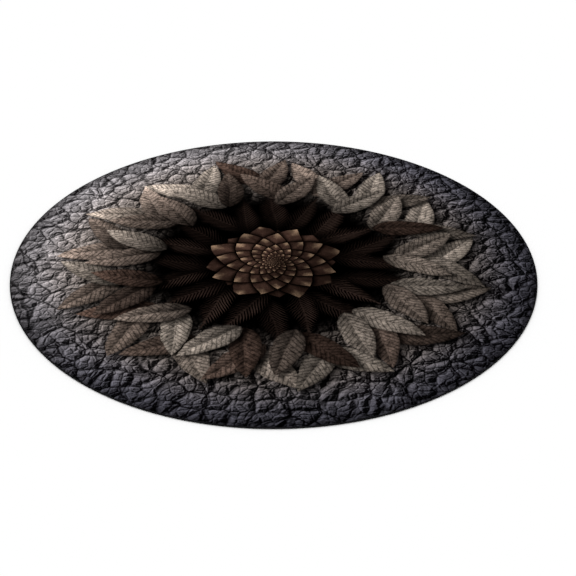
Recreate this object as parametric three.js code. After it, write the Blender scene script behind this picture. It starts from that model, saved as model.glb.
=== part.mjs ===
// A round, flat area rug: one printed low-pile panel, and the thread edging that is sewn round its rim.
// Millimetres, +Z up. The origin is the centre of the underside, which lies on the floor.
import * as THREE from "three";

// Driving dimensions
const RUG_DIAMETER = 1200;
const RUG_THICKNESS = 4;
const EDGING_WIDTH = 3; // how far the edging covers the panel's rim, seen from above
const THREAD_LAYER = 0.6; // thickness of the thread over and under the panel's lip
const EDGING_WALL = 1; // thickness of the thread outside the lip, at half height
const EDGING_FLAT = 1; // width of the edging's flat foot and of its flat top
const CLEARANCE = 0.3; // between the panel and the edging
const ROUND_SEGMENTS = 120;
const EDGE_ARC_STEPS = 6; // straight steps in the edging's rounded outer side

const RUG_RADIUS = RUG_DIAMETER / 2;

const printedPile = new THREE.MeshStandardMaterial({ color: 0x4a4645, roughness: 0.95, metalness: 0 });
const edgingThread = new THREE.MeshStandardMaterial({ color: 0x0d0d0f, roughness: 0.9, metalness: 0 });

// A solid of revolution about Z, from a profile of [radius, height] points.
function turned(name, profile, material) {
  const points = profile.map(([radius, height]) => new THREE.Vector2(radius, height));
  const geometry = new THREE.LatheGeometry(points, ROUND_SEGMENTS);
  geometry.rotateX(Math.PI / 2);
  const mesh = new THREE.Mesh(geometry, material);
  mesh.name = name;
  return mesh;
}

// The panel is one flat disc. Its rim is pressed into a thinner lip, which the edging's thread wraps.
function rugPanel() {
  const shoulderRadius = RUG_RADIUS - EDGING_WIDTH - CLEARANCE;
  const lipRadius = RUG_RADIUS - EDGING_WALL - CLEARANCE;
  const lipBottom = THREAD_LAYER + CLEARANCE;
  const lipTop = RUG_THICKNESS - lipBottom;
  const profile = [
    [0, 0],
    [shoulderRadius, 0],
    [shoulderRadius, lipBottom],
    [lipRadius, lipBottom],
    [lipRadius, lipTop],
    [shoulderRadius, lipTop],
    [shoulderRadius, RUG_THICKNESS],
    [0, RUG_THICKNESS],
  ];
  return turned("rug_panel", profile, printedPile);
}

// The edging is a ring with a C section: open inwards, round outside, with a flat foot and a flat top.
function rugEdging() {
  const innerRadius = RUG_RADIUS - EDGING_WIDTH;
  const wallRadius = RUG_RADIUS - EDGING_WALL;
  const arcRadius = innerRadius + EDGING_FLAT;
  const halfHeight = RUG_THICKNESS / 2;
  const outerSide = [];
  for (let step = 0; step <= EDGE_ARC_STEPS; step += 1) {
    const angle = Math.PI * (step / EDGE_ARC_STEPS - 0.5);
    const radius = arcRadius + (RUG_RADIUS - arcRadius) * Math.cos(angle);
    outerSide.push([radius, halfHeight + halfHeight * Math.sin(angle)]);
  }
  const profile = [
    [innerRadius, 0],
    ...outerSide,
    [innerRadius, RUG_THICKNESS],
    [innerRadius, RUG_THICKNESS - THREAD_LAYER],
    [wallRadius, RUG_THICKNESS - THREAD_LAYER],
    [wallRadius, THREAD_LAYER],
    [innerRadius, THREAD_LAYER],
    [innerRadius, 0],
  ];
  return turned("rug_edging", profile, edgingThread);
}

const rug = new THREE.Group();
rug.add(rugPanel(), rugEdging());

export default rug;
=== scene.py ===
"""A round printed rug on a pale floor. Metres, +Z up, the origin at the centre of the rug's underside."""
import math
from typing import NamedTuple

import bpy
import numpy as np
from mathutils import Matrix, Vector


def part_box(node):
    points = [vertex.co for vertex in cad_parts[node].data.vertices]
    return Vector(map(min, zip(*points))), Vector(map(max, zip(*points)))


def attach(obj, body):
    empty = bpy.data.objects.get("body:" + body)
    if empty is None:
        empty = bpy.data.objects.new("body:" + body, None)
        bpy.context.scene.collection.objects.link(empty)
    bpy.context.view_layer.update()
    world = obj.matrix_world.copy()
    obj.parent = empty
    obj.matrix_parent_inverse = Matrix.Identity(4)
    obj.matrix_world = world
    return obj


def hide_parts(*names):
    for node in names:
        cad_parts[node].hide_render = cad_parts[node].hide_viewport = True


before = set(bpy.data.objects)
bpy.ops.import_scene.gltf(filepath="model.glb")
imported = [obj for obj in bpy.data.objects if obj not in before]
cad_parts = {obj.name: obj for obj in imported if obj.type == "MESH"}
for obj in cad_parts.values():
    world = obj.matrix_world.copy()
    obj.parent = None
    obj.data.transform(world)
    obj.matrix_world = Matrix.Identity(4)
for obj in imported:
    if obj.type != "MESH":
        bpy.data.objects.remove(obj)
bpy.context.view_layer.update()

# The rug's own sizes come from the frame
RUG_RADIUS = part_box("rug_edging")[1].x
RUG_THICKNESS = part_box("rug_edging")[1].z
LIP_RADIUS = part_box("rug_panel")[1].x
MILLIMETRE = 0.001

# The camera stands where the rug's outline falls as it does in the photograph, a little left of the middle
PICTURE_PX = 576
OUTLINE_MIDDLE_PX = 273.66
LENS_MM = 85.0
SENSOR_MM = 36.0
ELEVATION = math.radians(33.540)
DISTANCE = 3.0463
AIM = Vector((0.0, -0.1041, 0.0))

# Studio
FLOOR_DROP = 0.1 * MILLIMETRE
FLOOR_HALF_SIDE = 60.0
FLOOR_WHITE = 0.96
SKY_STRENGTH = 0.88
KEY_STRENGTH = 0.56
KEY_SPREAD = math.radians(60)
KEY_TRAVEL = Vector((0.45, -0.55, -1.6))

# The panel's mesh. Its shoulder goes down to the lip that the edging wraps
PANEL_RINGS = 120
PANEL_SPOKES = 360
SHOULDER_WIDTH = 6 * MILLIMETRE
SHOULDER_DROP = 0.7 * MILLIMETRE
LIP_BOTTOM = 0.9 * MILLIMETRE
LIP_GAP = 0.3 * MILLIMETRE
WAVE_HEIGHT = 0.2 * MILLIMETRE

# A face of it that lies lower than this belongs to the underside
UNDERSIDE_TOP = LIP_BOTTOM + 0.1 * MILLIMETRE

# Where its two sides lie in the map that they are baked through: the middle, and the size
FACE_IN_MAP = (0.485, 0.48)
BACK_IN_MAP = (0.910, 0.085)

# The edging's mesh. Its slant is in stitches, once round the section, and the section has the corners of its
# arc and one more at the inner end of its top and of its foot
STITCHES = 1700
STEPS_PER_STITCH = 7
EDGING_WIDTH = 3 * MILLIMETRE
EDGING_FLAT = 1 * MILLIMETRE
THREAD_LAYER = 0.6 * MILLIMETRE
THREAD_RIDGE = 0.45 * MILLIMETRE
THREAD_SLANT = 1.6
EDGE_ARC_STEPS = 5
SECTION_CORNERS = EDGE_ARC_STEPS + 3

# From here on, a SPAN or a FADE says where a smooth step begins and ends. TONES are the brightness at the
# two ends of a share from 0 to 1, and LIMITS are the least and the greatest that a brightness may be

# The pile's short tufts with painted shade in the gaps between them, the fuzz on them, and the weave of the
# underside
TUFT_PITCH = 1.1 * MILLIMETRE
TUFT_LUCK_TONES = (1.04, 1.34)
TUFT_GAP_SHADE = 0.55
SWAYS_PER_TUFT = 0.15
SWAY_REACH = 1.5
FUZZ_STRETCH = Vector((0.8, 2.0))
FUZZ_PER_TUFT = 2.0
FUZZ_TONES = (0.75, 1.25)
FUZZ_RISE = 0.6
PILE_RELIEF = 0.5 * MILLIMETRE
WEAVE_PITCH = 1.6 * MILLIMETRE
WEAVE_SPAN = (-0.6, 0.6)
WEAVE_RELIEF = 0.3 * MILLIMETRE

# The twist of the edging's thread, with painted highlight on its crests and painted shade between its
# strands
CREST_TURN = 0.25
STRANDS_PER_STITCH = 4.0
STRAND_TONES = (0.5, 1.0)
FIBRES_PER_METRE = 2500.0
FIBRE_TONES = (0.5, 1.5)
FIBRE_RELIEF = 0.1 * MILLIMETRE

# The printed design. Its lengths are shares of the rug's radius, and its light comes over the upper left.
# Noise bends its lines, and a fine grain lies over all of it
PRINT_LIGHT = Vector((-0.80, 0.60))
LEAST_RADIUS = 0.01
WAVERS_PER_RADIUS = 16.0
WAVER_REACH = 0.012
FAR_WAVERS_PER_RADIUS = 6.0
FAR_WAVER_REACH = 0.02
GRAINS_PER_RADIUS = 170.0
GRAIN_TONES = (0.4, 1.6)

# The layers besides 0 that noises are cut through, so that they don't look alike
WAVER_LAYER = 1.0
FAR_WAVER_LAYER = 2.0
BEND_LAYER = 3.0
GRAIN_LAYER = 4.0
MOTTLE_LAYER = 5.0

# How bright the painted light is round the rim and in the middle, and how it falls off at the very edge
LAMP_FOCUS = 2.7
LAMP_GAIN = 3.3
LAMP_FAR_SIDE = 0.76
LAMP_MIDDLE = 0.80
LAMP_SPAN = (0.58, 0.94)
RIM_SPAN = (0.84, 1.0)
RIM_DARKNESS = 0.50
ROLL_SPAN = (0.95, 1.0)
ROLL_DARKNESS = 0.50

# The print's ground is crackled: cells with a finer crinkle and lumps, and a few long seams across them
CELLS_PER_RADIUS = 13.0
CELL_SHOULDER_SPAN = (0.0, 0.30)
CELL_RISE = 0.022
CRINKLES_PER_RADIUS = 33.0
CRINKLE_SHOULDER_SPAN = (0.0, 0.22)
CRINKLE_RISE = 0.0065
LUMPS_PER_RADIUS = 22.0
LUMP_RISE = 0.040
BENDS_PER_RADIUS = 5.0
BEND_REACH = 0.09
SLOPE_STEP = 0.0024
GROUND_LIMITS = (0.04, 2.8)
GROUND_FADE = (0.40, 0.60)
GAP_SPAN = (0.012, 0.085)
DEEP_GAPS_PER_RADIUS = 4.0
DEEP_GAP_SPAN = (0.40, 0.60)
DEEP_GAP_DARKNESS = 0.45
CREASE_SPAN = (0.01, 0.12)
SEAMS_PER_RADIUS = 4.2
SEAM_BEND = 1.6
SEAM_SPAN = (0.008, 0.035)
SEAM_DARKNESS = 0.75
PATCHES_PER_RADIUS = 3.0
PATCH_TONES = (0.6, 1.4)
OUTWARD_SPAN = (0.66, 0.98)
SUNNY_SPAN = (-0.2, 0.8)

# The first of each pair is for the ground's shady side, and the second for its sunny one
SLOPE_CONTRASTS = (0.95, 0.60)
LEVEL_TONES = (0.85, 0.92)
GAP_DARKNESSES = (0.50, 0.35)
CREASE_DARKNESSES = (0.45, 0.30)

# A leaf or frond widens from its stalk by one power of the way along it, and narrows to its tip by another.
# It has a share of its ring's turn for itself, which ends half a share from its middle
WIDEST_AT = 0.40
TIP_POWER = 0.9
STALK_POWER = TIP_POWER * WIDEST_AT / (1 - WIDEST_AT)
WIDEST = WIDEST_AT ** STALK_POWER * (1 - WIDEST_AT) ** TIP_POWER
BLADE_CUT = 0.001
OWN_TURN_FADE = (0.44, 0.5)

# A wreath of leaves lies on the ground
LEAF_WAVER = 0.25
LEAF_COVER_SPAN = (0.0, 0.003)
LEAF_RIM_SPAN = (0.0, 0.012)
LEAF_RIM_TONES = (0.65, 1.0)
LEAF_LUCK_TONES = (0.41, 1.31)
LEAF_FADE = (0.36, 0.62)
LEAF_FOLD_STEEPNESS = 120.0
LEAF_FOLD = 0.70
LEAF_BULGE = 1.10
LEAF_THINNEST = 0.004
LEAF_CURL = 0.55
LEAF_LEVEL = 0.88
LEAF_LIMITS = (0.12, 2.2)
LEAF_SHADOW = 0.026
LEAF_SHADOW_BLUR = 0.020
LEAF_SHADOW_DARKNESS = 0.88
MIDRIB_SPAN = (0.0008, 0.0035)
MIDRIB_LIGHT = 0.35
VEINS_PER_RADIUS = 44.0
VEIN_SLANT = 42.0
VEIN_SPAN = (0.02, 0.26)
VEIN_TONES = (0.50, 1.20)
MOTTLES_PER_RADIUS = 38.0
MOTTLE_CONTRAST = 3.8
MOTTLE_LEVEL = 1.04
MOTTLE_LIMITS = (0.25, 2.2)
NET_PER_RADIUS = 40.0
NET_SPAN = (0.02, 0.16)
NET_DEPTH = 0.11
TAUPE_LUCK_SPAN = (0.0, 0.4)
PALE_LUCK_SPAN = (0.5, 0.9)

# Inside the wreath the ground is black, with needled fronds on it
FROND_WAVER = 0.8
FROND_FOLD_STEEPNESS = 60.0
FROND_FOLD = 0.5
FROND_LEVEL = 0.9
FROND_LIMITS = (0.1, 2.2)
FROND_LUCK_TONES = (0.35, 1.05)
FROND_SHADOW = 0.020
FROND_SHADOW_BLUR = 0.030
FROND_SHADOW_DARKNESS = 0.75
NEEDLES_PER_RADIUS = 60.0
NEEDLE_SLANT = 75.0
NEEDLE_WAVER = 2.0
NEEDLE_TAPER = 30.0
NEEDLE_HALF_WIDTH = 0.34
NEEDLE_COVER_SPAN = (0.0, 0.10)
NEEDLE_ROUNDNESS = 0.9
STEM_SPAN = (0.002, 0.005)
STEM_END_SPAN = (-0.001, 0.001)

# A cone lies in the middle
CONE_RADIUS = 0.25
CONE_EYE = 0.003
CONE_SPIRALS = (8, 13)
CONE_STRETCH = 1.15
CONE_SEED = 7.0
CONE_WAVER = 1.5
CONE_JAG = 0.05
CONE_COVER_WIDTH = 0.004
CONE_SHADOW_FADE = (CONE_RADIUS - 0.02, CONE_RADIUS + 0.10)
CONE_SHADOW_DARKNESS = 0.9
SCALE_FOOT_SPAN = (0.0, 0.35)
SCALE_FACING = 0.35
SCALE_LEVEL = 0.80
SCALE_RIDGE = 0.6
SCALE_LUCK_TONES = (0.6, 1.1)
TIP_SPAN = (0.50, 0.95)
TIP_WAVER = 0.5
TIP_STRENGTH = 0.85
STREAKS_ROUND = 60.0
STREAKS_OUTWARD = 3.0
STREAK_TONES = (0.3, 1.7)


class Wave(NamedTuple):
    """A wave of the panel's face. Another wave, across it, bends it. Rates are in radians a metre."""
    rate: float
    bend: float
    bend_rate: float
    start: float


X_WAVE = Wave(rate=31, bend=1.3, bend_rate=19, start=0)
Y_WAVE = Wave(rate=27, bend=1.7, bend_rate=23, start=2)


class Ring(NamedTuple):
    """A ring of leaves or fronds.

    Each one leans by its own share of scatter, and moves in or out by its own share of shift.
    """
    count: int
    offset: float
    middle: float
    half_length: float
    half_width: float
    lean: float
    scatter: float = 0.50
    shift: float = 0.05


LEAF_RINGS = (
    Ring(count=15, offset=0.25, middle=0.70, half_length=0.150, half_width=0.062, lean=0.55),
    Ring(count=15, offset=0.75, middle=0.67, half_length=0.150, half_width=0.060, lean=-0.50),
    Ring(count=13, offset=0.10, middle=0.59, half_length=0.150, half_width=0.062, lean=0.45),
    Ring(count=13, offset=0.60, middle=0.57, half_length=0.145, half_width=0.060, lean=-0.40),
)
FROND_RINGS = (
    Ring(count=10, offset=0.00, middle=0.38, half_length=0.165, half_width=0.068, lean=0.18, scatter=0.30),
    Ring(count=10, offset=0.50, middle=0.35, half_length=0.160, half_width=0.064, lean=-0.14, scatter=0.30),
)


def ink(red, green, blue):
    """A screen colour from 0 to 255 a channel, taken through the sRGB curve to a shader's linear colour."""
    def linear(value):
        share = value / 255
        return share / 12.92 if share <= 0.04045 else ((share + 0.055) / 1.055) ** 2.4
    return (linear(red), linear(green), linear(blue), 1.0)


BLACK = ink(2, 1, 1)
COOL_GREY = ink(82, 81, 90)
PALE_GREY = ink(97, 94, 96)
TAUPE = ink(101, 93, 88)
LEAF_PALE = ink(158, 146, 135)
LEAF_TAUPE = ink(116, 102, 93)
LEAF_BROWN = ink(80, 63, 55)
FROND_BROWN = ink(52, 40, 35)
BARK = ink(80, 58, 49)
TAN = ink(190, 157, 128)
# The edging's black thread in painted shade in its grooves, and in painted highlight on its crests
THREAD_SHADED_GROOVE = ink(2, 2, 3)
THREAD_LIT_CREST = ink(18, 18, 20)
BACKING_PALE = ink(176, 172, 166)
BACKING_SHADE = ink(150, 146, 140)

# A mix node names its sockets alike for each kind of value, so those for colours are found by their place
MIX_SHARE_IN = 0
MIX_FIRST_COLOUR_IN = 6
MIX_SECOND_COLOUR_IN = 7
MIX_COLOUR_OUT = 2


class Value:
    """One number of a node tree. It adds and multiplies as a Python number does."""

    def __init__(self, tree, socket):
        self.tree = tree
        self.socket = socket

    def __add__(self, other):
        return calculate("ADD", self, other)

    def __radd__(self, other):
        return calculate("ADD", other, self)

    def __sub__(self, other):
        return calculate("SUBTRACT", self, other)

    def __rsub__(self, other):
        return calculate("SUBTRACT", other, self)

    def __mul__(self, other):
        return calculate("MULTIPLY", self, other)

    def __truediv__(self, other):
        return calculate("DIVIDE", self, other)

    def __rtruediv__(self, other):
        return calculate("DIVIDE", other, self)

    def __pow__(self, other):
        return calculate("POWER", self, other)


def plug(tree, socket, value):
    """Feeds a node's input from a Value, another node's output or plain numbers."""
    if isinstance(value, Value):
        value = value.socket
    if isinstance(value, bpy.types.NodeSocket):
        tree.links.new(value, socket)
    else:
        socket.default_value = value


def tree_of(*values):
    """The node tree that the values belong to."""
    return next(value.tree for value in values if isinstance(value, Value))


def calculate(operation, *inputs):
    """The result of one operation of a Math node."""
    tree = tree_of(*inputs)
    node = tree.nodes.new("ShaderNodeMath")
    node.operation = operation
    for socket, value in zip(node.inputs, inputs):
        plug(tree, socket, value)
    return Value(tree, node.outputs[0])


def floor(value):
    return calculate("FLOOR", value)


def fraction(value):
    return calculate("FRACT", value)


def remainder(value, divisor):
    return calculate("FLOORED_MODULO", value, divisor)


def absolute(value):
    return calculate("ABSOLUTE", value)


def sine(value):
    return calculate("SINE", value)


def natural_log(value):
    return calculate("LOGARITHM", value, math.e)


def angle_of(x, y):
    return calculate("ARCTAN2", y, x)


def radius_of(x, y):
    return calculate("SQRT", x * x + y * y)


def least(first, second):
    return calculate("MINIMUM", first, second)


def greatest(first, second):
    return calculate("MAXIMUM", first, second)


def clamped(value, low=0.0, high=1.0):
    return least(greatest(value, low), high)


def two_sided(value):
    """From -1 on one side to 1 on the other."""
    return clamped(value, -1.0, 1.0)


def swing(turns):
    """From 0 to 1 and back, once a turn."""
    return sine(turns * math.tau) * 0.5 + 0.5


def smooth(value, low, high):
    """0 up to low, 1 from high, and an even S between them."""
    node = value.tree.nodes.new("ShaderNodeMapRange")
    node.interpolation_type = "SMOOTHSTEP"
    plug(value.tree, node.inputs["Value"], value)
    node.inputs["From Min"].default_value = low
    node.inputs["From Max"].default_value = high
    return Value(value.tree, node.outputs["Result"])


def fading(value, low, high):
    """1 up to low, 0 from high, and an even S between them."""
    return 1.0 - smooth(value, low, high)


def between(first, second, share):
    """first where share is 0, and second where it is 1."""
    node = share.tree.nodes.new("ShaderNodeMix")
    node.data_type = "FLOAT"
    plug(share.tree, node.inputs["Factor"], share)
    plug(share.tree, node.inputs["A"], first)
    plug(share.tree, node.inputs["B"], second)
    return Value(share.tree, node.outputs["Result"])


def blended(first, second, share):
    """The colour first where share is 0, and the colour second where it is 1."""
    node = share.tree.nodes.new("ShaderNodeMix")
    node.data_type = "RGBA"
    plug(share.tree, node.inputs[MIX_SHARE_IN], share)
    plug(share.tree, node.inputs[MIX_FIRST_COLOUR_IN], first)
    plug(share.tree, node.inputs[MIX_SECOND_COLOUR_IN], second)
    return node.outputs[MIX_COLOUR_OUT]


def dimmed(colour, factor):
    """A colour made darker or lighter by a Value."""
    node = factor.tree.nodes.new("ShaderNodeVectorMath")
    node.operation = "SCALE"
    plug(factor.tree, node.inputs[0], colour)
    plug(factor.tree, node.inputs["Scale"], factor)
    return node.outputs[0]


def point(x, y, z=0.0):
    tree = tree_of(x, y, z)
    node = tree.nodes.new("ShaderNodeCombineXYZ")
    for socket, value in zip(node.inputs, (x, y, z)):
        plug(tree, socket, value)
    return Value(tree, node.outputs[0])


def parts_of(vector):
    node = vector.tree.nodes.new("ShaderNodeSeparateXYZ")
    plug(vector.tree, node.inputs[0], vector)
    return [Value(vector.tree, output) for output in node.outputs]


def turned(x, y, angle):
    """The point (x, y) seen from axes that are turned by an angle."""
    tree = angle.tree
    node = tree.nodes.new("ShaderNodeVectorRotate")
    node.rotation_type = "Z_AXIS"
    node.invert = True
    if isinstance(x, Value):
        plug(tree, node.inputs["Vector"], point(x, y))
    else:
        plug(tree, node.inputs["Vector"], (x, y, 0.0))
    plug(tree, node.inputs["Angle"], angle)
    along, aside, _ = parts_of(Value(tree, node.outputs[0]))
    return along, aside


def noise(place, scale, detail=2.0, roughness=0.5):
    """Soft noise from 0 to 1, mostly near the middle."""
    node = place.tree.nodes.new("ShaderNodeTexNoise")
    plug(place.tree, node.inputs["Vector"], place)
    node.inputs["Scale"].default_value = scale
    node.inputs["Detail"].default_value = detail
    node.inputs["Roughness"].default_value = roughness
    return Value(place.tree, node.outputs["Fac"])


def cracks(place, scale):
    """The distance from the nearest crack between cells, in cells."""
    node = place.tree.nodes.new("ShaderNodeTexVoronoi")
    node.feature = "DISTANCE_TO_EDGE"
    node.voronoi_dimensions = "2D"
    plug(place.tree, node.inputs["Vector"], place)
    node.inputs["Scale"].default_value = scale
    return Value(place.tree, node.outputs["Distance"])


def tufts(place):
    """How far a point is from the nearest tuft's middle, in tufts, and that tuft's luck."""
    node = place.tree.nodes.new("ShaderNodeTexVoronoi")
    node.voronoi_dimensions = "2D"
    plug(place.tree, node.inputs["Vector"], place)
    node.inputs["Scale"].default_value = 1.0
    luck, _, _ = parts_of(Value(place.tree, node.outputs["Color"]))
    return Value(place.tree, node.outputs["Distance"]), luck


def chances(first, second):
    """Three numbers from 0 to 1, the same wherever first and second are the same."""
    tree = tree_of(first, second)
    node = tree.nodes.new("ShaderNodeTexWhiteNoise")
    node.noise_dimensions = "2D"
    plug(tree, node.inputs["Vector"], point(first, second))
    return parts_of(Value(tree, node.outputs["Color"]))


class Print(NamedTuple):
    """What is painted so far at a point: the ink, and how brightly the painted light falls on it."""
    colour: object
    tone: Value


class Blade(NamedTuple):
    """Where a point lies on the nearest leaf of a ring, and the painted light's direction there.

    own is 1 well inside that leaf's share of the turn, and 0 at the ends of it.
    """
    along: Value
    aside: Value
    light_along: Value
    light_aside: Value
    own: Value
    luck: list


def nearest_blade(x, y, ring, seed):
    """The leaf of a ring whose share of the turn a point is in, with its own lean and place."""
    turn = angle_of(x, y) * (ring.count / math.tau) + ring.offset
    number = floor(turn)
    luck = chances(remainder(number, float(ring.count)), seed)
    middle_angle = (number + (0.5 - ring.offset)) * (math.tau / ring.count)
    lean = luck[0] * ring.scatter + (ring.lean - ring.scatter / 2)
    out, aside = turned(x, y, middle_angle)
    out = out - ring.middle + (luck[1] - 0.5) * ring.shift
    along, aside = turned(out, aside, lean)
    light_along, light_aside = turned(PRINT_LIGHT.x, PRINT_LIGHT.y, middle_angle + lean)
    own = fading(absolute(turn - number - 0.5), *OWN_TURN_FADE)
    return Blade(along, aside, light_along, light_aside, own, luck)


def blade_width(along, ring):
    """Half the width of a leaf, at a place along it. It falls below 0 past the ends."""
    share = clamped(along * (0.5 / ring.half_length) + 0.5)
    return share ** STALK_POWER * (1.0 - share) ** TIP_POWER * (ring.half_width / WIDEST) - BLADE_CUT


def shaded_by(blade, ring, reach, blur):
    """1 where the leaf keeps the painted light off what lies under it."""
    along = blade.along + blade.light_along * reach
    aside = blade.aside + blade.light_aside * reach
    inside = blade_width(along, ring) - absolute(aside)
    return smooth(inside, -blur, blur) * blade.own


def leaf_light(blade, ring, width, mottle):
    """A leaf folded along its midrib and curled along its length, with veins slanting to the tip."""
    fold = two_sided(blade.aside * LEAF_FOLD_STEEPNESS)
    across = two_sided(blade.aside / greatest(width, LEAF_THINNEST))
    slope = across * LEAF_BULGE - fold * LEAF_FOLD
    curl = blade.along * (LEAF_CURL / ring.half_length)
    lit = clamped(slope * blade.light_aside + curl * blade.light_along + LEAF_LEVEL, *LEAF_LIMITS)
    vein_place = fraction(blade.along * VEINS_PER_RADIUS - absolute(blade.aside) * VEIN_SLANT)
    vein = smooth(absolute(vein_place - 0.5), *VEIN_SPAN)
    mottled = clamped(mottle * MOTTLE_CONTRAST + MOTTLE_LEVEL, *MOTTLE_LIMITS)
    rib = fading(absolute(blade.aside), *MIDRIB_SPAN)
    return lit * between(*VEIN_TONES, vein) * mottled + rib * MIDRIB_LIGHT


def leaf_ink(luck):
    """Each leaf's own ink, from brown over taupe to pale."""
    darker = blended(LEAF_BROWN, LEAF_TAUPE, smooth(luck, *TAUPE_LUCK_SPAN))
    return blended(darker, LEAF_PALE, smooth(luck, *PALE_LUCK_SPAN))


def paint_leaf(under, x, y, ring, seed, waver, mottle, depth):
    """depth dims a leaf towards its stalk, where it comes out of the dark."""
    blade = nearest_blade(x, y, ring, seed)
    shadow = shaded_by(blade, ring, LEAF_SHADOW, LEAF_SHADOW_BLUR)
    tone = under.tone * (1.0 - shadow * LEAF_SHADOW_DARKNESS)
    width = blade_width(blade.along, ring)
    inside = width * (waver * LEAF_WAVER + 1.0) - absolute(blade.aside)
    cover = smooth(inside, *LEAF_COVER_SPAN)
    rim = between(*LEAF_RIM_TONES, smooth(inside, *LEAF_RIM_SPAN))
    lit = leaf_light(blade, ring, width, mottle) * rim * between(*LEAF_LUCK_TONES, blade.luck[1]) * depth
    return Print(blended(under.colour, leaf_ink(blade.luck[2]), cover), between(tone, lit, cover))


def paint_frond(under, x, y, ring, seed, waver):
    """Needles on both sides of a stem. They start wide and end in points at the frond's outline."""
    blade = nearest_blade(x, y, ring, seed)
    from_stem = absolute(blade.aside)
    inside = blade_width(blade.along, ring) * (waver * FROND_WAVER + 1.0) - from_stem
    slanted = blade.along * NEEDLES_PER_RADIUS - from_stem * NEEDLE_SLANT
    place = fraction(slanted + waver * NEEDLE_WAVER)
    needle_width = clamped(inside * NEEDLE_TAPER) * NEEDLE_HALF_WIDTH
    needle = smooth(needle_width - absolute(place - 0.5), *NEEDLE_COVER_SPAN)
    stem = fading(from_stem, *STEM_SPAN) * smooth(inside, *STEM_END_SPAN)
    cover = greatest(needle, stem) * blade.own
    fold = two_sided(blade.aside * FROND_FOLD_STEEPNESS) * blade.light_aside
    lit = clamped((place - 0.5) * NEEDLE_ROUNDNESS + FROND_LEVEL - fold * FROND_FOLD, *FROND_LIMITS)
    lit = lit * between(*FROND_LUCK_TONES, blade.luck[1])
    shadow = shaded_by(blade, ring, FROND_SHADOW, FROND_SHADOW_BLUR)
    tone = under.tone * (1.0 - shadow * FROND_SHADOW_DARKNESS)
    return Print(blended(under.colour, FROND_BROWN, cover), between(tone, lit, cover))


def cone_streaks(x, y, radius, depth):
    """Fine streaks from the cone's middle outwards, as many at each radius."""
    reach = STREAKS_ROUND / math.tau / greatest(radius, CONE_EYE)
    place = point(x * reach, y * reach, depth * STREAKS_OUTWARD)
    return between(*STREAK_TONES, noise(place, 1.0, detail=3.0, roughness=0.7))


def paint_cone(under, x, y, waver):
    """Scales between two families of spirals, the pale tip of each over the foot of the next one out."""
    radius = radius_of(x, y)
    turn = angle_of(x, y) * (1.0 / math.tau)
    left, right = CONE_SPIRALS
    depth = natural_log(greatest(radius, CONE_EYE))
    rings = depth * (math.sqrt(left * right) / math.tau * CONE_STRETCH)
    first = rings + turn * float(left)
    second = rings - turn * float(right)
    rise = least(fraction(first), fraction(second))
    ridge = absolute(fraction(first) - fraction(second)) * SCALE_RIDGE
    luck = chances(floor(first) * float(right) + floor(second) * float(left), CONE_SEED)
    facing = towards_light(x, y, radius) * SCALE_FACING + SCALE_LEVEL
    lit = smooth(rise, *SCALE_FOOT_SPAN) * facing * (1.0 - ridge) * between(*SCALE_LUCK_TONES, luck[0])
    lit = lit * (waver * CONE_WAVER + 1.0) * cone_streaks(x, y, radius, depth)
    scale = blended(BARK, TAN, smooth(rise + waver * TIP_WAVER, *TIP_SPAN) * TIP_STRENGTH)
    cover = fading(radius - (rise - 0.5) * CONE_JAG, CONE_RADIUS - CONE_COVER_WIDTH, CONE_RADIUS)
    tone = under.tone * (1.0 - fading(radius, *CONE_SHADOW_FADE) * CONE_SHADOW_DARKNESS)
    return Print(blended(under.colour, scale, cover), between(tone, lit, cover))


def towards_light(x, y, radius):
    """1 on the side of the middle that the painted light comes from, and -1 on the other side."""
    return (x * PRINT_LIGHT.x + y * PRINT_LIGHT.y) / greatest(radius, LEAST_RADIUS)


def ground_height(x, y, bend_x, bend_y):
    """The painted ground's height, and how far a point is from the cracks of its cells and its crinkle."""
    bent = point(x + bend_x, y + bend_y)
    cell = cracks(bent, CELLS_PER_RADIUS)
    crinkle = cracks(bent, CRINKLES_PER_RADIUS)
    lumps = noise(bent, LUMPS_PER_RADIUS, detail=5.0, roughness=0.68)
    cell_height = smooth(cell, *CELL_SHOULDER_SPAN) * CELL_RISE
    crinkle_height = smooth(crinkle, *CRINKLE_SHOULDER_SPAN) * CRINKLE_RISE
    return cell_height + crinkle_height + lumps * LUMP_RISE, cell, crinkle


def paint_ground(x, y):
    """Crackled ground, lit by its slope towards the painted light and dark in its cracks."""
    place = point(x, y)
    bend_x = (noise(place, BENDS_PER_RADIUS, detail=3.0) - 0.5) * BEND_REACH
    bend_y = (noise(point(y, x, BEND_LAYER), BENDS_PER_RADIUS, detail=3.0) - 0.5) * BEND_REACH
    here, cell, crinkle = ground_height(x, y, bend_x, bend_y)
    step = PRINT_LIGHT * SLOPE_STEP
    ahead, _, _ = ground_height(x + step.x, y + step.y, bend_x, bend_y)
    slope = (here - ahead) * (1 / SLOPE_STEP)
    sunny = smooth(x * PRINT_LIGHT.x + y * PRINT_LIGHT.y, *SUNNY_SPAN)
    lit = slope * between(*SLOPE_CONTRASTS, sunny) + between(*LEVEL_TONES, sunny)
    deep = smooth(noise(place, DEEP_GAPS_PER_RADIUS), *DEEP_GAP_SPAN) * DEEP_GAP_DARKNESS
    gap = fading(cell, *GAP_SPAN) * (deep + between(*GAP_DARKNESSES, sunny))
    crease = fading(crinkle, *CREASE_SPAN) * between(*CREASE_DARKNESSES, sunny)
    seam_place = point(x + bend_x * SEAM_BEND, y + bend_y * SEAM_BEND)
    seam = fading(cracks(seam_place, SEAMS_PER_RADIUS), *SEAM_SPAN) * SEAM_DARKNESS
    patches = between(*PATCH_TONES, noise(place, PATCHES_PER_RADIUS, detail=3.0))
    tone = clamped(lit, *GROUND_LIMITS) * patches * (1.0 - gap) * (1.0 - crease) * (1.0 - seam)
    outward = smooth(radius_of(x, y), *OUTWARD_SPAN)
    # The ground's ink is cool grey on the side away from the painted light, and paler grey on the sunny side
    return Print(blended(TAUPE, blended(COOL_GREY, PALE_GREY, sunny), outward), tone)


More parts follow.
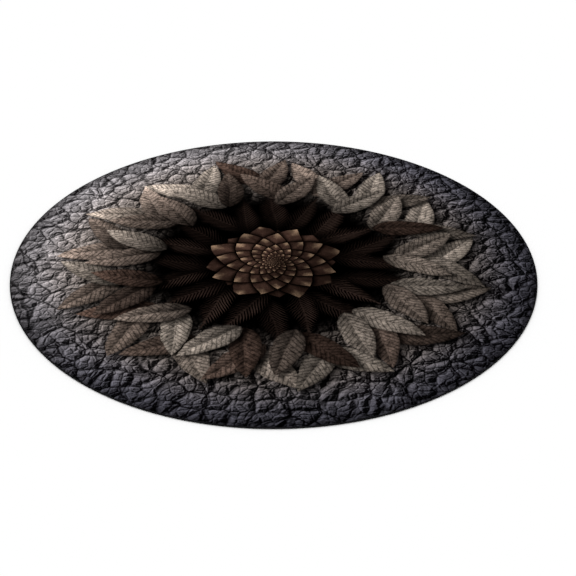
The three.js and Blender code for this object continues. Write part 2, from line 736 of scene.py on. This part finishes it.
def lamp(x, y):
    """The painted light: even in the middle, bright towards the upper left rim and dim round the rest of it.

    Painted shade darkens the print further where the pile rolls down to the edging.
    """
    radius = radius_of(x, y)
    rim = (towards_light(x, y, radius) * 0.5 + 0.5) ** LAMP_FOCUS * LAMP_GAIN + LAMP_FAR_SIDE
    even = between(LAMP_MIDDLE, rim, smooth(radius, *LAMP_SPAN))
    kept_at_rim = 1.0 - smooth(radius, *RIM_SPAN) * RIM_DARKNESS
    kept_on_roll = 1.0 - smooth(radius, *ROLL_SPAN) * ROLL_DARKNESS
    return even * kept_at_rim * kept_on_roll


def darkened_inside(painted, radius, start, end):
    """Black inside the start radius, and as it was from the end radius."""
    share = smooth(radius, start, end)
    return Print(blended(BLACK, painted.colour, share), painted.tone * share)


def paint_design(x, y):
    """The whole print: ground, fronds, leaves and cone, one over the other, under the painted light."""
    waver = noise(point(x, y, WAVER_LAYER), WAVERS_PER_RADIUS, detail=4.0, roughness=0.6) - 0.5
    far_waver = (noise(point(x, y, FAR_WAVER_LAYER), FAR_WAVERS_PER_RADIUS) - 0.5) * FAR_WAVER_REACH
    bent_x = x + waver * WAVER_REACH + far_waver
    bent_y = y - waver * WAVER_REACH + far_waver
    radius = radius_of(bent_x, bent_y)
    painted = darkened_inside(paint_ground(x, y), radius, *GROUND_FADE)
    for seed, ring in enumerate(FROND_RINGS, len(LEAF_RINGS)):
        painted = paint_frond(painted, bent_x, bent_y, ring, float(seed), waver)
    net = fading(cracks(point(bent_x, bent_y), NET_PER_RADIUS), *NET_SPAN)
    mottle = noise(point(x, y, MOTTLE_LAYER), MOTTLES_PER_RADIUS, detail=4.0, roughness=0.7)
    mottle = mottle - 0.5 - net * NET_DEPTH
    depth = smooth(radius, *LEAF_FADE)
    for seed, ring in enumerate(LEAF_RINGS):
        painted = paint_leaf(painted, bent_x, bent_y, ring, float(seed), waver, mottle, depth)
    painted = paint_cone(painted, bent_x, bent_y, waver)
    grain = noise(point(x, y, GRAIN_LAYER), GRAINS_PER_RADIUS, detail=2.0, roughness=0.6)
    return dimmed(painted.colour, painted.tone * lamp(x, y) * between(*GRAIN_TONES, grain))


def new_material(name, roughness, specular):
    """A new material, its node tree and its shader."""
    material = bpy.data.materials.new(name)
    material.use_nodes = True
    shader = material.node_tree.nodes["Principled BSDF"]
    shader.inputs["Roughness"].default_value = roughness
    shader.inputs["Specular IOR Level"].default_value = specular
    return material, material.node_tree, shader


def object_place(tree, unit):
    """The place on the object, in the given unit."""
    node = tree.nodes.new("ShaderNodeTexCoord")
    x, y, z = parts_of(Value(tree, node.outputs["Object"]))
    scale = 1 / unit
    return x * scale, y * scale, z * scale


def add_bump(tree, shader, height, distance):
    bump = tree.nodes.new("ShaderNodeBump")
    bump.inputs["Distance"].default_value = distance
    bump.inputs["Strength"].default_value = 1.0
    plug(tree, bump.inputs["Height"], height)
    tree.links.new(bump.outputs[0], shader.inputs["Normal"])


def printed_pile():
    """The printed face of short, soft pile."""
    material, tree, shader = new_material("printed_pile", roughness=0.95, specular=0.0)
    x, y, _ = object_place(tree, RUG_RADIUS)
    design = paint_design(x, y)
    x, y, _ = object_place(tree, TUFT_PITCH)
    sway = noise(point(x, y), SWAYS_PER_TUFT) * SWAY_REACH
    distance, luck = tufts(point(x + sway, y - sway))
    fuzz_place = point(x * FUZZ_STRETCH.x, y * FUZZ_STRETCH.y)
    fuzz = noise(fuzz_place, FUZZ_PER_TUFT, detail=2.0, roughness=0.7)
    # Each tuft has its own random tone, and painted shade darkens the gaps between tufts
    tuft = between(*TUFT_LUCK_TONES, luck) * (1.0 - distance * TUFT_GAP_SHADE)
    tint_and_gap_shade = tuft * between(*FUZZ_TONES, fuzz)
    tree.links.new(dimmed(design, tint_and_gap_shade), shader.inputs["Base Color"])
    add_bump(tree, shader, fuzz * FUZZ_RISE - distance, PILE_RELIEF)
    return material


def woven_backing():
    """The plain woven underside."""
    material, tree, shader = new_material("woven_backing", roughness=0.95, specular=0.05)
    x, y, _ = object_place(tree, WEAVE_PITCH)
    weave = sine(x * math.tau) * sine(y * math.tau)
    colour = blended(BACKING_PALE, BACKING_SHADE, smooth(weave, *WEAVE_SPAN))
    tree.links.new(colour, shader.inputs["Base Color"])
    add_bump(tree, shader, weave, WEAVE_RELIEF)
    return material


def edging_thread():
    """Matt black thread with its own fine twist. Its crests follow those of the edging's mesh and carry
    painted highlight.
    """
    material, tree, shader = new_material("edging_thread", roughness=0.6, specular=0.08)
    x, y, z = object_place(tree, 1.0)
    from_arc = radius_of(x, y) - (RUG_RADIUS - EDGING_WIDTH + EDGING_FLAT)
    section_turn = angle_of(from_arc, z - RUG_THICKNESS / 2)
    corner = 1.0 + (0.5 - section_turn / math.pi) * float(EDGE_ARC_STEPS)
    place = angle_of(x, y) * (STITCHES / math.tau) + corner * (THREAD_SLANT / SECTION_CORNERS)
    strands = swing(place * STRANDS_PER_STITCH)
    fibres = noise(point(x, y, z), FIBRES_PER_METRE, detail=2.0, roughness=0.6)
    # Painted highlight along each stitch's crest, painted shade in its groove and between its strands, and
    # the fibres' random tone
    light = swing(place + CREST_TURN) * between(*STRAND_TONES, strands) * between(*FIBRE_TONES, fibres)
    tree.links.new(blended(THREAD_SHADED_GROOVE, THREAD_LIT_CREST, light), shader.inputs["Base Color"])
    add_bump(tree, shader, strands + fibres, FIBRE_RELIEF)
    return material


def new_piece(name, vertices, faces, *materials):
    mesh = bpy.data.meshes.new(name)
    mesh.from_pydata(vertices, [], faces)
    mesh.update()
    for material in materials:
        mesh.materials.append(material)
    piece = bpy.data.objects.new(name, mesh)
    bpy.context.scene.collection.objects.link(piece)
    for polygon in mesh.polygons:
        polygon.use_smooth = True
    return piece


def wave_at(wave, along, across):
    return np.sin(along * wave.rate + wave.bend * np.sin(across * wave.bend_rate) + wave.start)


def panel_height(radius, angle):
    """The height of the printed face: very slightly uneven, and pressed down towards the edging."""
    share = np.clip((radius - (LIP_RADIUS - SHOULDER_WIDTH)) / SHOULDER_WIDTH, 0, 1)
    x = radius * np.cos(angle)
    y = radius * np.sin(angle)
    wave = wave_at(X_WAVE, x, y) + wave_at(Y_WAVE, y, x)
    flat = RUG_THICKNESS - WAVE_HEIGHT + wave * WAVE_HEIGHT / 2
    return flat * (1 - share ** 2) + (RUG_THICKNESS - SHOULDER_DROP) * share ** 2


def panel_rows():
    """The angles of the spokes, and for each circle of the mesh its radius and its heights at those angles.

    The circles go from the middle of the face out over the lip, and back in underneath.
    """
    angles = np.linspace(0, math.tau, PANEL_SPOKES, endpoint=False)
    radii = np.linspace(0, LIP_RADIUS, PANEL_RINGS + 1)[1:]
    rows = [(radius, panel_height(radius, angles)) for radius in radii]
    lip_inner = RUG_RADIUS - EDGING_WIDTH - LIP_GAP
    back = (
        (LIP_RADIUS, LIP_BOTTOM),
        (lip_inner, LIP_BOTTOM),
        (lip_inner - LIP_BOTTOM, 0.0),
        (RUG_RADIUS / 2, 0.0),
    )
    rows += [(radius, np.full(PANEL_SPOKES, height)) for radius, height in back]
    return angles, rows


def make_panel():
    """One closed sheet: the printed face, the thin lip under the edging, and the flat underside."""
    angles, rows = panel_rows()
    vertices = [(0.0, 0.0, float(panel_height(0.0, 0.0)))]
    for radius, heights in rows:
        vertices += [(radius * math.cos(a), radius * math.sin(a), float(z)) for a, z in zip(angles, heights)]
    vertices.append((0.0, 0.0, 0.0))
    faces = []
    for spoke in range(PANEL_SPOKES):
        after = (spoke + 1) % PANEL_SPOKES
        faces.append((0, 1 + spoke, 1 + after))
        for row in range(len(rows) - 1):
            first = 1 + row * PANEL_SPOKES
            second = first + PANEL_SPOKES
            faces.append((first + spoke, second + spoke, second + after, first + after))
        last = 1 + (len(rows) - 1) * PANEL_SPOKES
        faces.append((last + spoke, len(vertices) - 1, last + after))
    panel = new_piece("panel", vertices, faces, printed_pile(), woven_backing())
    for polygon in panel.data.polygons:
        polygon.material_index = 1 if polygon.center.z < UNDERSIDE_TOP else 0
    add_bake_map(panel)
    return panel


def add_bake_map(panel):
    """Lays the printed face over nearly the whole map, and the underside small in its corner."""
    mesh = panel.data
    layer = mesh.uv_layers.new(name="OFBake")
    for polygon in mesh.polygons:
        is_back = polygon.material_index == 1
        middle, size = BACK_IN_MAP if is_back else FACE_IN_MAP
        for corner in polygon.loop_indices:
            x, y, z = mesh.vertices[mesh.loops[corner].vertex_index].co
            radius = max(math.hypot(x, y), MILLIMETRE)
            reach = radius + (z if is_back else RUG_THICKNESS - z)
            scale = size / (LIP_RADIUS + RUG_THICKNESS) * reach / radius
            layer.data[corner].uv = (middle + x * scale, middle + y * scale)


def edging_section():
    """The edging's outline, from the inner end of its top over the rounded outside to that of its foot."""
    inner = RUG_RADIUS - EDGING_WIDTH
    arc = inner + EDGING_FLAT
    half = RUG_THICKNESS / 2
    section = [(inner, RUG_THICKNESS - THREAD_LAYER)]
    for index in range(EDGE_ARC_STEPS + 1):
        angle = math.pi * (0.5 - index / EDGE_ARC_STEPS)
        section.append((arc + (RUG_RADIUS - arc) * math.cos(angle), half + half * math.sin(angle)))
    section.append((inner, THREAD_LAYER))
    return section, Vector((arc, half))


def make_edging():
    """Overlocked thread: one slanted ridge for each stitch, wrapped over the panel's rim."""
    section, section_middle = edging_section()
    steps = STITCHES * STEPS_PER_STITCH
    vertices = []
    for step in range(steps):
        turn = math.tau * step / steps
        for index, corner in enumerate(section):
            slant = THREAD_SLANT * index / SECTION_CORNERS
            groove = 0.5 - 0.5 * math.cos(math.tau * (step / STEPS_PER_STITCH + slant))
            away = (Vector(corner) - section_middle).normalized()
            radius, z = Vector(corner) - away * (THREAD_RIDGE * groove ** 2)
            vertices.append((radius * math.cos(turn), radius * math.sin(turn), z))
    faces = []
    for step in range(steps):
        first = step * SECTION_CORNERS
        second = (step + 1) % steps * SECTION_CORNERS
        for index in range(SECTION_CORNERS):
            after = (index + 1) % SECTION_CORNERS
            faces.append((first + index, first + after, second + after, second + index))
    return new_piece("edging", vertices, faces, edging_thread())


def make_camera():
    data = bpy.data.cameras.new("camera")
    data.lens = LENS_MM
    data.sensor_width = SENSOR_MM
    data.shift_x = 0.5 - OUTLINE_MIDDLE_PX / PICTURE_PX
    camera = bpy.data.objects.new("camera", data)
    back = Vector((0.0, -math.cos(ELEVATION), math.sin(ELEVATION)))
    camera.location = AIM + back * DISTANCE
    camera.rotation_euler = (-back).to_track_quat("-Z", "Y").to_euler()
    bpy.context.scene.collection.objects.link(camera)
    bpy.context.scene.camera = camera


def make_floor():
    material, _, shader = new_material("floor", roughness=1.0, specular=0.0)
    shader.inputs["Base Color"].default_value = (FLOOR_WHITE, FLOOR_WHITE, FLOOR_WHITE, 1.0)
    corners = ((-1, -1), (1, -1), (1, 1), (-1, 1))
    vertices = [(x * FLOOR_HALF_SIDE, y * FLOOR_HALF_SIDE, -FLOOR_DROP) for x, y in corners]
    new_piece("floor", vertices, [(0, 1, 2, 3)], material)


def make_light():
    """A white sky, and a broad soft lamp from the upper left."""
    world = bpy.data.worlds.new("studio")
    world.use_nodes = True
    background = world.node_tree.nodes["Background"]
    background.inputs["Color"].default_value = (1.0, 1.0, 1.0, 1.0)
    background.inputs["Strength"].default_value = SKY_STRENGTH
    bpy.context.scene.world = world
    data = bpy.data.lights.new("key", "SUN")
    data.energy = KEY_STRENGTH
    data.angle = KEY_SPREAD
    key = bpy.data.objects.new("key", data)
    key.rotation_euler = KEY_TRAVEL.to_track_quat("-Z", "Y").to_euler()
    bpy.context.scene.collection.objects.link(key)
    bpy.context.scene.view_settings.view_transform = "Standard"


def place_in_frame(panel, edging):
    """Each piece rides on the rug's one body and replaces its own solid."""
    for piece, node, slot in ((panel, "rug_panel", "printed_pile"), (edging, "rug_edging", "edging_thread")):
        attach(piece, "root")
        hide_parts(node)


make_camera()
make_floor()
make_light()
place_in_frame(make_panel(), make_edging())
